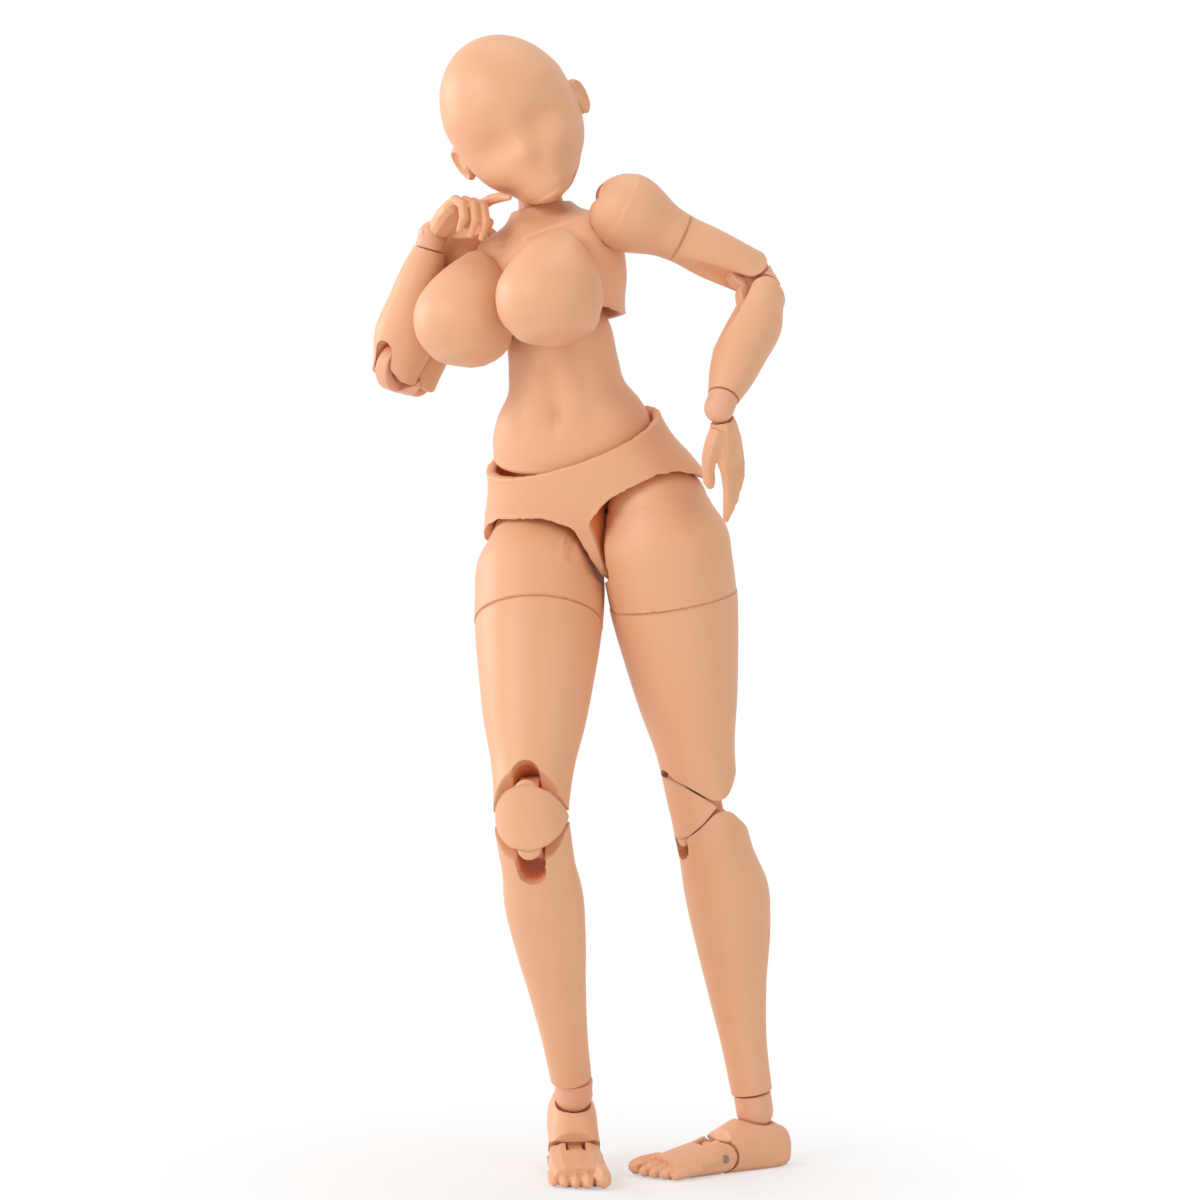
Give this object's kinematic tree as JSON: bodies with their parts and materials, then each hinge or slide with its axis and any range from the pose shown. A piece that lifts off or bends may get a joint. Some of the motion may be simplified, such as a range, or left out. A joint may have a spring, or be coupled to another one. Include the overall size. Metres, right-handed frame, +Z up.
{
  "type": "articulated action figure body",
  "caption": "Posable blank figure body: ball-jointed torso, swivel limbs, double-hinged elbows and knees with floating kneecaps, hinged feet, and plain sculpted hands and head.",
  "frame": {"origin": "centre of the figure's footprint box, on the floor under the soles", "axes": "+Z up, -Y the figure's front as pictured, +X the figure's left"},
  "size_m": [0.0504, 0.0368, 0.1376],
  "materials": {
    "skin_plastic": "satin moulded",
    "joint_plastic": "satin moulded",
    "metal_pin": "brushed"
  },
  "bodies": {
    "pelvis_body": {"pelvis_shell": "skin_plastic"},
    "spine_lower_joint_body": {"spine_lower_joint": "joint_plastic"},
    "abdomen_body": {"abdomen_shell": "skin_plastic"},
    "chest_body": {"chest_shell": "skin_plastic", "bust_left": "skin_plastic", "bust_right": "skin_plastic"},
    "neck_post_body": {"neck_post": "skin_plastic"},
    "head_joint_body": {"head_joint": "joint_plastic"},
    "head_body": {"head_shell": "skin_plastic"},
    "shoulder_joint_left_body": {"shoulder_joint_left": "joint_plastic"},
    "upper_arm_left_body": {"upper_arm_left": "skin_plastic", "shoulder_pin_left": "joint_plastic"},
    "bicep_left_body": {"bicep_left": "skin_plastic", "elbow_pin_upper_left": "joint_plastic"},
    "elbow_block_left_body": {"elbow_block_left": "joint_plastic"},
    "forearm_left_body": {"forearm_left": "skin_plastic", "elbow_pin_lower_left": "joint_plastic"},
    "wrist_block_left_body": {"wrist_block_left": "joint_plastic", "wrist_pin_left": "joint_plastic"},
    "hand_left_body": {"hand_left": "skin_plastic"},
    "shoulder_joint_right_body": {"shoulder_joint_right": "joint_plastic"},
    "upper_arm_right_body": {"upper_arm_right": "skin_plastic", "shoulder_pin_right": "joint_plastic"},
    "bicep_right_body": {"bicep_right": "skin_plastic", "elbow_pin_upper_right": "joint_plastic"},
    "elbow_block_right_body": {"elbow_block_right": "joint_plastic"},
    "forearm_right_body": {"forearm_right": "skin_plastic", "elbow_pin_lower_right": "joint_plastic"},
    "wrist_block_right_body": {"wrist_block_right": "joint_plastic", "wrist_pin_right": "joint_plastic"},
    "hand_right_body": {"hand_right": "skin_plastic"},
    "spine_upper_joint_body": {"spine_upper_joint": "joint_plastic"},
    "hip_joint_left_body": {"hip_joint_left": "joint_plastic"},
    "thigh_upper_left_body": {"thigh_upper_left": "skin_plastic", "hip_pin_left": "joint_plastic"},
    "thigh_lower_left_body": {"thigh_lower_left": "skin_plastic", "knee_pin_upper_left": "joint_plastic"},
    "knee_block_left_body": {"knee_block_left": "joint_plastic", "knee_cap_left": "skin_plastic"},
    "shin_left_body": {"shin_left": "skin_plastic", "knee_pin_lower_left": "joint_plastic"},
    "ankle_block_left_body": {"ankle_block_left": "joint_plastic", "ankle_pin_left": "joint_plastic"},
    "foot_left_body": {"foot_left": "skin_plastic"},
    "toes_left_body": {"toes_left": "skin_plastic", "toe_pin_left": "metal_pin"},
    "hip_joint_right_body": {"hip_joint_right": "joint_plastic"},
    "thigh_upper_right_body": {"thigh_upper_right": "skin_plastic", "hip_pin_right": "joint_plastic"},
    "thigh_lower_right_body": {"thigh_lower_right": "skin_plastic", "knee_pin_upper_right": "joint_plastic"},
    "knee_block_right_body": {"knee_block_right": "joint_plastic", "knee_cap_right": "skin_plastic"},
    "shin_right_body": {"shin_right": "skin_plastic", "knee_pin_lower_right": "joint_plastic"},
    "ankle_block_right_body": {"ankle_block_right": "joint_plastic", "ankle_pin_right": "joint_plastic"},
    "foot_right_body": {"foot_right": "skin_plastic"},
    "toes_right_body": {"toes_right": "skin_plastic", "toe_pin_right": "metal_pin"}
  },
  "joints": [
    {"name": "waist_bend", "type": "hinge", "parent": "pelvis_body", "child": "spine_lower_joint_body", "pos_m": [-0.00177, 0.002, 0.08894], "axis": [0.9632, 0, 0.2689], "range_deg": [-13, 6]},
    {"name": "waist_tilt", "type": "hinge", "parent": "spine_lower_joint_body", "child": "abdomen_body", "pos_m": [-0.00177, 0.002, 0.08894], "axis": [0.0421, -0.9877, -0.1507], "range_deg": [0, 17]},
    {"name": "chest_twist", "type": "hinge", "parent": "abdomen_body", "child": "spine_upper_joint_body", "pos_m": [-0.00328, -0.00101, 0.10825], "axis": [-0.0769, -0.1536, 0.9851], "range_deg": [-22, 38]},
    {"name": "chest_bend", "type": "hinge", "parent": "spine_upper_joint_body", "child": "chest_body", "pos_m": [-0.00328, -0.00101, 0.10825], "axis": [0.9324, -0.2993, 0.2024], "range_deg": [-2, 13]},
    {"name": "neck_nod", "type": "hinge", "parent": "chest_body", "child": "neck_post_body", "pos_m": [-0.00463, -0.00044, 0.11532], "axis": [-0.9324, 0.2993, -0.2024], "range_deg": [-3.5, 18]},
    {"name": "head_turn", "type": "hinge", "parent": "neck_post_body", "child": "head_joint_body", "pos_m": [-0.00557, -0.00114, 0.12222], "axis": [0.1343, 0.1009, -0.9858], "range_deg": [-70, 13]},
    {"name": "head_tilt", "type": "hinge", "parent": "head_joint_body", "child": "head_body", "pos_m": [-0.00578, -0.00131, 0.12379], "axis": [0.2868, -0.9562, -0.0588], "range_deg": [-22, 0]},
    {"name": "shoulder_swing_left", "type": "hinge", "parent": "chest_body", "child": "shoulder_joint_left_body", "pos_m": [0.00748, -0.00414, 0.11631], "axis": [-0.9324, 0.2993, -0.2024], "range_deg": [-120, 120]},
    {"name": "arm_raise_left", "type": "hinge", "parent": "shoulder_joint_left_body", "child": "upper_arm_left_body", "pos_m": [0.00748, -0.00414, 0.11631], "axis": [0.0555, 0.6723, 0.7382], "range_deg": [-63, 11]},
    {"name": "bicep_turn_left", "type": "hinge", "parent": "upper_arm_left_body", "child": "bicep_left_body", "pos_m": [0.00748, -0.00414, 0.11631], "axis": [0.7969, 0.4156, -0.4384], "range_deg": [-90, 14]},
    {"name": "elbow_upper_left", "type": "hinge", "parent": "bicep_left_body", "child": "elbow_block_left_body", "pos_m": [0.01999, 0.00239, 0.10942], "axis": [0.5962, -0.658, 0.4599], "range_deg": [-48, 54]},
    {"name": "elbow_lower_left", "type": "hinge", "parent": "elbow_block_left_body", "child": "forearm_left_body", "pos_m": [0.02187, 0.00182, 0.10617], "axis": [-0.5962, 0.658, -0.4599], "range_deg": [-53, 54]},
    {"name": "wrist_turn_left", "type": "hinge", "parent": "forearm_left_body", "child": "wrist_block_left_body", "pos_m": [0.02028, -0.00848, 0.09351], "axis": [0.0973, 0.6279, 0.7722], "range_deg": [-90, 90]},
    {"name": "hand_tilt_left", "type": "hinge", "parent": "wrist_block_left_body", "child": "hand_left_body", "pos_m": [0.02028, -0.00848, 0.09351], "axis": [-0.9825, 0.1846, -0.0263], "range_deg": [-21, 75]},
    {"name": "shoulder_swing_right", "type": "hinge", "parent": "chest_body", "child": "shoulder_joint_right_body", "pos_m": [-0.01601, 0.00341, 0.1112], "axis": [-0.9324, 0.2993, -0.2024], "range_deg": [-13, 2.5]},
    {"name": "arm_raise_right", "type": "hinge", "parent": "shoulder_joint_right_body", "child": "upper_arm_right_body", "pos_m": [-0.01601, 0.00341, 0.1112], "axis": [0.3557, 0.8591, -0.368], "range_deg": [-2, 13]},
    {"name": "bicep_turn_right", "type": "hinge", "parent": "upper_arm_right_body", "child": "bicep_right_body", "pos_m": [-0.01601, 0.00341, 0.1112], "axis": [0.321, 0.2576, 0.9114], "range_deg": [-90, 7]},
    {"name": "elbow_upper_right", "type": "hinge", "parent": "bicep_right_body", "child": "elbow_block_right_body", "pos_m": [-0.02105, -0.00064, 0.0969], "axis": [0.9146, -0.3343, -0.2276], "range_deg": [0, 84]},
    {"name": "elbow_lower_right", "type": "hinge", "parent": "elbow_block_right_body", "child": "forearm_right_body", "pos_m": [-0.02211, -0.00417, 0.09783], "axis": [-0.9146, 0.3343, 0.2276], "range_deg": [-84, 0]},
    {"name": "wrist_turn_right", "type": "hinge", "parent": "forearm_right_body", "child": "wrist_block_right_body", "pos_m": [-0.0178, -0.00312, 0.11362], "axis": [0.2628, 0.0634, 0.9628], "range_deg": [-90, 5]},
    {"name": "hand_tilt_right", "type": "hinge", "parent": "wrist_block_right_body", "child": "hand_right_body", "pos_m": [-0.0178, -0.00312, 0.11362], "axis": [-0.575, -0.791, 0.2091], "range_deg": [-14, 2.5]},
    {"name": "hip_swing_left", "type": "hinge", "parent": "pelvis_body", "child": "hip_joint_left_body", "pos_m": [0.00859, 0.00367, 0.08086], "axis": [0.9632, 0, 0.2689], "range_deg": [-4, 20]},
    {"name": "leg_raise_left", "type": "hinge", "parent": "hip_joint_left_body", "child": "thigh_upper_left_body", "pos_m": [0.00859, 0.00367, 0.08086], "axis": [-0.0374, 0.9903, 0.134], "range_deg": [-32, 2]},
    {"name": "thigh_turn_left", "type": "hinge", "parent": "thigh_upper_left_body", "child": "thigh_lower_left_body", "pos_m": [0.00859, 0.00367, 0.08086], "axis": [-0.1175, -0.1376, 0.9835], "range_deg": [-50, 50]},
    {"name": "knee_upper_left", "type": "hinge", "parent": "thigh_lower_left_body", "child": "knee_block_left_body", "pos_m": [0.01254, 0.0083, 0.04781], "axis": [0.6918, -0.7218, -0.0183], "range_deg": [-3, 50]},
    {"name": "knee_lower_left", "type": "hinge", "parent": "knee_block_left_body", "child": "shin_left_body", "pos_m": [0.01315, 0.00901, 0.0427], "axis": [-0.6918, 0.7218, 0.0183], "range_deg": [-50, 3.5]},
    {"name": "ankle_turn_left", "type": "hinge", "parent": "shin_left_body", "child": "ankle_block_left_body", "pos_m": [0.01743, 0.01402, 0.0069], "axis": [-0.1175, -0.1376, 0.9835], "range_deg": [-40, 40]},
    {"name": "foot_tilt_left", "type": "hinge", "parent": "ankle_block_left_body", "child": "foot_left_body", "pos_m": [0.01743, 0.01402, 0.0069], "axis": [0.788, -0.6157, 0], "range_deg": [-35, 35]},
    {"name": "toe_bend_left", "type": "hinge", "parent": "foot_left_body", "child": "toes_left_body", "pos_m": [0.01349, 0.00898, 0.002], "axis": [0.788, -0.6157, 0], "range_deg": [-45, 41]},
    {"name": "hip_swing_right", "type": "hinge", "parent": "pelvis_body", "child": "hip_joint_right_body", "pos_m": [-0.00644, 0.00367, 0.07666], "axis": [-0.9632, 0, -0.2689], "range_deg": [-4, 11]},
    {"name": "leg_raise_right", "type": "hinge", "parent": "hip_joint_right_body", "child": "thigh_upper_right_body", "pos_m": [-0.00644, 0.00367, 0.07666], "axis": [-0.1304, -0.8746, 0.467], "range_deg": [-18, 4]},
    {"name": "thigh_turn_right", "type": "hinge", "parent": "thigh_upper_right_body", "child": "thigh_lower_right_body", "pos_m": [-0.00644, 0.00367, 0.07666], "axis": [0.1435, -0.4827, -0.864], "range_deg": [-50, 5.5]},
    {"name": "knee_upper_right", "type": "hinge", "parent": "thigh_lower_right_body", "child": "knee_block_right_body", "pos_m": [-0.00162, -0.01254, 0.04763], "axis": [-0.9813, -0.1823, -0.0612], "range_deg": [-50, 30]},
    {"name": "knee_lower_right", "type": "hinge", "parent": "knee_block_right_body", "child": "shin_right_body", "pos_m": [-0.00127, -0.0127, 0.04245], "axis": [0.9813, 0.1823, 0.0612], "range_deg": [-33, 50]},
    {"name": "ankle_turn_right", "type": "hinge", "parent": "shin_right_body", "child": "ankle_block_right_body", "pos_m": [-0.00212, 0.00295, 0.0096], "axis": [0.0236, -0.4299, 0.9026], "range_deg": [-40, 31]},
    {"name": "foot_tilt_right", "type": "hinge", "parent": "ankle_block_right_body", "child": "foot_right_body", "pos_m": [-0.00212, 0.00295, 0.0096], "axis": [0.9063, 0.4226, 0], "range_deg": [-35, 35]},
    {"name": "toe_bend_right", "type": "hinge", "parent": "foot_right_body", "child": "toes_right_body", "pos_m": [-0.00098, 0.0005, 0.002], "axis": [-0.9063, -0.4226, 0], "range_deg": [-45, 37]}
  ]
}
